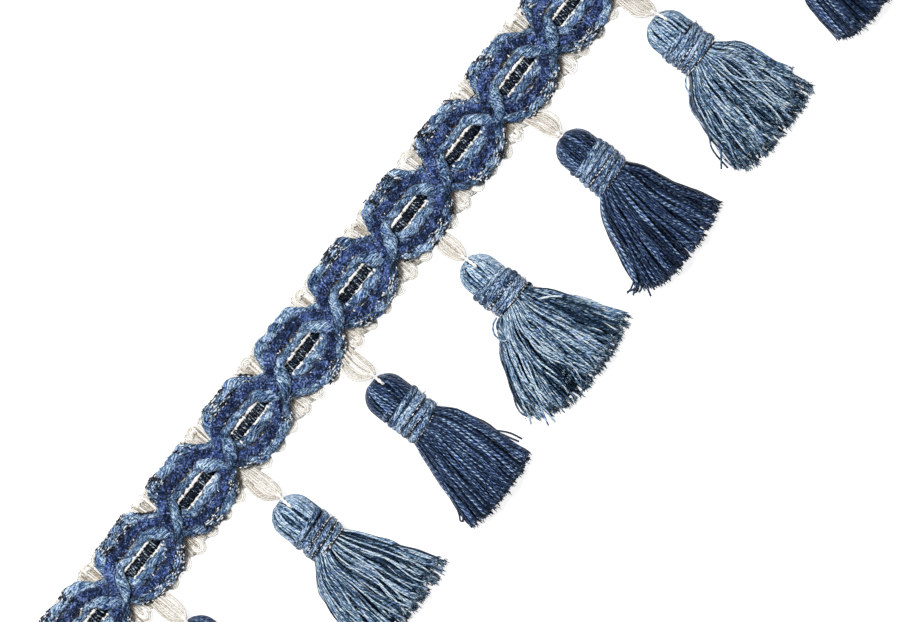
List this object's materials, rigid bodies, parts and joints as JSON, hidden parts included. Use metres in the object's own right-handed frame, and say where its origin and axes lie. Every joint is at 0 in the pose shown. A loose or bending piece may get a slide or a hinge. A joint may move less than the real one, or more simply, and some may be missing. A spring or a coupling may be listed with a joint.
{
  "type": "tassel fringe trim",
  "caption": "Cut length of tassel fringe: a cream scalloped heading with a blue chain braid, and pale and navy tassels hung from thread loops.",
  "frame": {"origin": "middle of the heading's flat back", "axes": "+X along the heading, -Y towards the tassels' tips, +Z out of the trim's face"},
  "size_m": [0.2972, 0.0773, 0.0117],
  "materials": {
    "heading_cream": "woven cotton, matt",
    "chain_blue": "bulky yarn and chenille, matt",
    "cord_ink": "ribbed cord, satin",
    "loop_cream": "soft cotton thread, matt",
    "wrap_pale": "bulky yarn, matt",
    "tassel_pale": "twisted rayon yarn, soft sheen",
    "tassel_navy": "twisted rayon yarn, soft sheen"
  },
  "bodies": {
    "root": {"ground": "heading_cream", "band_a": "chain_blue", "band_b": "chain_blue", "centre_cord": "cord_ink", "loop_0": "loop_cream", "loop_1": "loop_cream", "loop_2": "loop_cream", "loop_3": "loop_cream", "loop_4": "loop_cream", "loop_5": "loop_cream", "loop_6": "loop_cream", "wrap_0": "wrap_pale", "wrap_1": "wrap_pale", "wrap_2": "wrap_pale", "wrap_3": "wrap_pale", "wrap_4": "wrap_pale", "wrap_5": "wrap_pale", "wrap_6": "wrap_pale", "tassel_0": "tassel_navy", "tassel_1": "tassel_pale", "tassel_2": "tassel_navy", "tassel_3": "tassel_pale", "tassel_4": "tassel_navy", "tassel_5": "tassel_pale", "tassel_6": "tassel_navy"}
  },
  "joints": []
}
